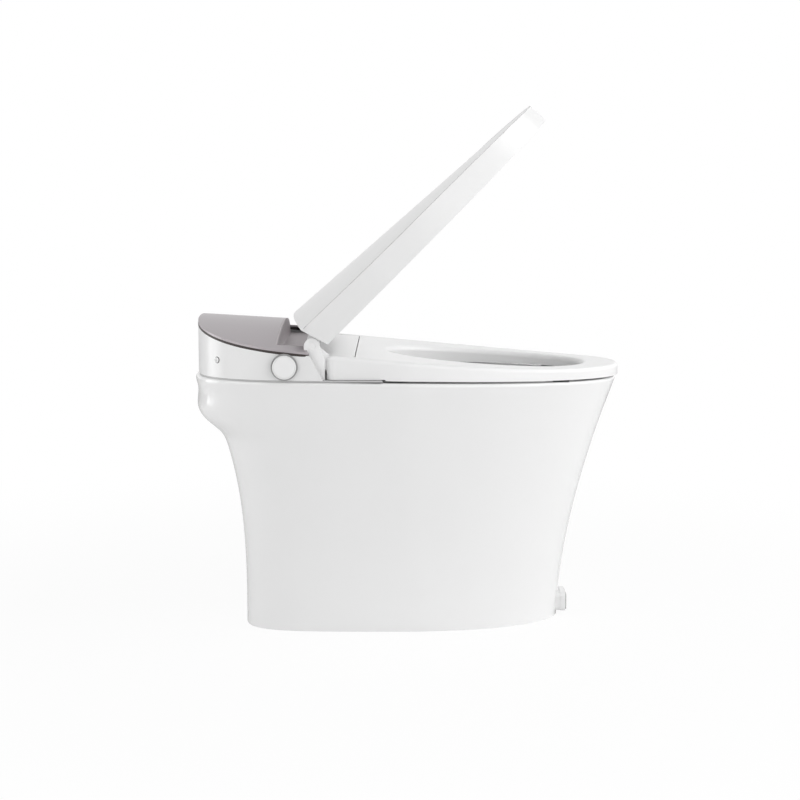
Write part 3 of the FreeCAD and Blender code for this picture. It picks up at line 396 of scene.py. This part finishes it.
def buildCoverShadowBead():
    shadowBead = coverShadowBead
    reach = shadowBead["rear"] - shadowBead["widest"]
    endShare = (shadowBead["frontEnd"] - shadowBead["widest"]) / reach
    endAngle = math.acos(endShare ** (shadowBead["squareness"] / 2))
    angle = np.linspace(-endAngle, endAngle, shadowBead["steps"] + 1)
    x, y = superellipse(angle, reach, shadowBead["halfWidth"], shadowBead["squareness"])
    x = shadowBead["widest"] + x

    crownX, crownZ = shadowBead["crownRear"]
    axisZ = crownZ - shadowBead["crownRadius"] - shadowBead["fall"] * (x - crownX)
    radius = shadowBead["crownRadius"] - shadowBead["coverThickness"]
    edgeZ = axisZ + np.sqrt(radius ** 2 - y ** 2) * math.sqrt(1 + shadowBead["fall"] ** 2)
    path = np.stack([x, y, edgeZ - shadowBead["halfHeight"]], axis=1)
    along = np.gradient(path, axis=0)
    outward = unit(np.stack([-along[:, 1], along[:, 0], np.zeros(len(x))], axis=1))
    upward = np.broadcast_to(upright, path.shape)
    grid = carried(path, shadowBead["proud"] * outward, shadowBead["halfHeight"] * upward, shadowBead["sides"])
    ringMesh("coverShadowBead", [grid], finishes["dark_trim"], "pan")


buildPostCaps()
buildPlugShadowRing()
buildLidSeamShadow()
buildCoverShadowBead()
print("small pieces built")


# studio: one pale floor that fades to the white surround, and soft lamps aimed at the middle
studio = dict(floorSize=12.0, floorTone=0.9, ambient=0.36, nearGlow=0.93, fadeFrom=0.4, fadeTo=1.5,
              lampAim=(0.05, 0, 0.35))
lamps = {
    "frontLamp": dict(place=(2.2, -0.2, 1.7), power=29, size=2.0),
    "sideLamp": dict(place=(1.8, -2.6, 1.0), power=24.5, size=2.2),
    "highLamp": dict(place=(1.9, -1.3, 2.3), power=10, size=2.2),
    "leftLamp": dict(place=(-2.2, -1.9, 1.0), power=19, size=2.0),
    "rearLamp": dict(place=(-2.6, 0.3, 0.6), power=18, size=1.4),
}


# the camera sees a glow that rises to full white away from the object, and light falls on the rest
def floorFinish():
    g = newGraph("paleFloor")
    lit = g.add("ShaderNodeBsdfDiffuse", None, {"Color": (*grey(studio["floorTone"]), 1)})
    glow = g.add("ShaderNodeEmission", None, {"Color": (*grey(1), 1), "Strength": 1.0})
    away = g.add("ShaderNodeVectorMath", {"operation": "LENGTH"}, {0: g.place()}, out="Value")
    fade = g.add("ShaderNodeMapRange", {"interpolation_type": "SMOOTHSTEP"}, {
        "Value": away, "From Min": studio["fadeFrom"], "From Max": studio["fadeTo"],
        "To Min": studio["nearGlow"], "To Max": 1.0})
    seen = g.lightPath("Is Camera Ray")
    return g.show(g.add("ShaderNodeMixShader", None, {0: seen * fade, 1: lit, 2: glow}))


def buildFloor():
    half = studio["floorSize"] / 2
    corners = [(-half, -half, 0), (half, -half, 0), (half, half, 0), (-half, half, 0)]
    mesh = bpy.data.meshes.new("floor")
    mesh.from_pydata(corners, [], [(0, 1, 2, 3)])
    floor = bpy.data.objects.new("floor", mesh)
    bpy.context.collection.objects.link(floor)
    floor.data.materials.append(floorFinish())


# white where it is seen directly, mirrored or through something, and dimmer as a light
def buildWorld():
    world = bpy.data.worlds.new("studio")
    bpy.context.scene.world = world
    g = Graph(world, "ShaderNodeOutputWorld")
    seen = g.maths("MAXIMUM", g.lightPath("Is Camera Ray"), g.lightPath("Is Glossy Ray"))
    seen = g.maths("MAXIMUM", seen, g.lightPath("Is Transmission Ray"))
    strength = studio["ambient"] + seen * (1 - studio["ambient"])
    g.show(g.add("ShaderNodeBackground", None, {"Color": (*grey(1), 1), "Strength": strength}))


# puts a lamp or a camera at a place and points it at an aim
def pointed(name, data, place, aim):
    holder = bpy.data.objects.new(name, data)
    holder.location = place
    holder.rotation_euler = (Vector(aim) - Vector(place)).to_track_quat("-Z", "Y").to_euler()
    bpy.context.collection.objects.link(holder)
    return holder


def buildLamp(name, place, power, size):
    lamp = bpy.data.lights.new(name, "AREA")
    lamp.energy = power
    lamp.size = size
    pointed(name, lamp, place, studio["lampAim"])


buildFloor()
buildWorld()
for lampName, lamp in lamps.items():
    buildLamp(lampName, **lamp)
print("studio ready")


# camera: side view from the -Y side, a little above the seat
shot = dict(eye=(0.0435, -3.0, 0.749), aim=(0.0435, 0.0, 0.3544), focalPixels=1842.6,
            imageWidth=800, sensor=36.0, clipEnd=50)


def buildCamera():
    data = bpy.data.cameras.new("sideCamera")
    data.sensor_width = shot["sensor"]
    data.lens = shot["focalPixels"] * shot["sensor"] / shot["imageWidth"]
    data.clip_end = shot["clipEnd"]
    bpy.context.scene.camera = pointed("sideCamera", data, shot["eye"], shot["aim"])


buildCamera()
bpy.context.scene.view_settings.view_transform = "Standard"
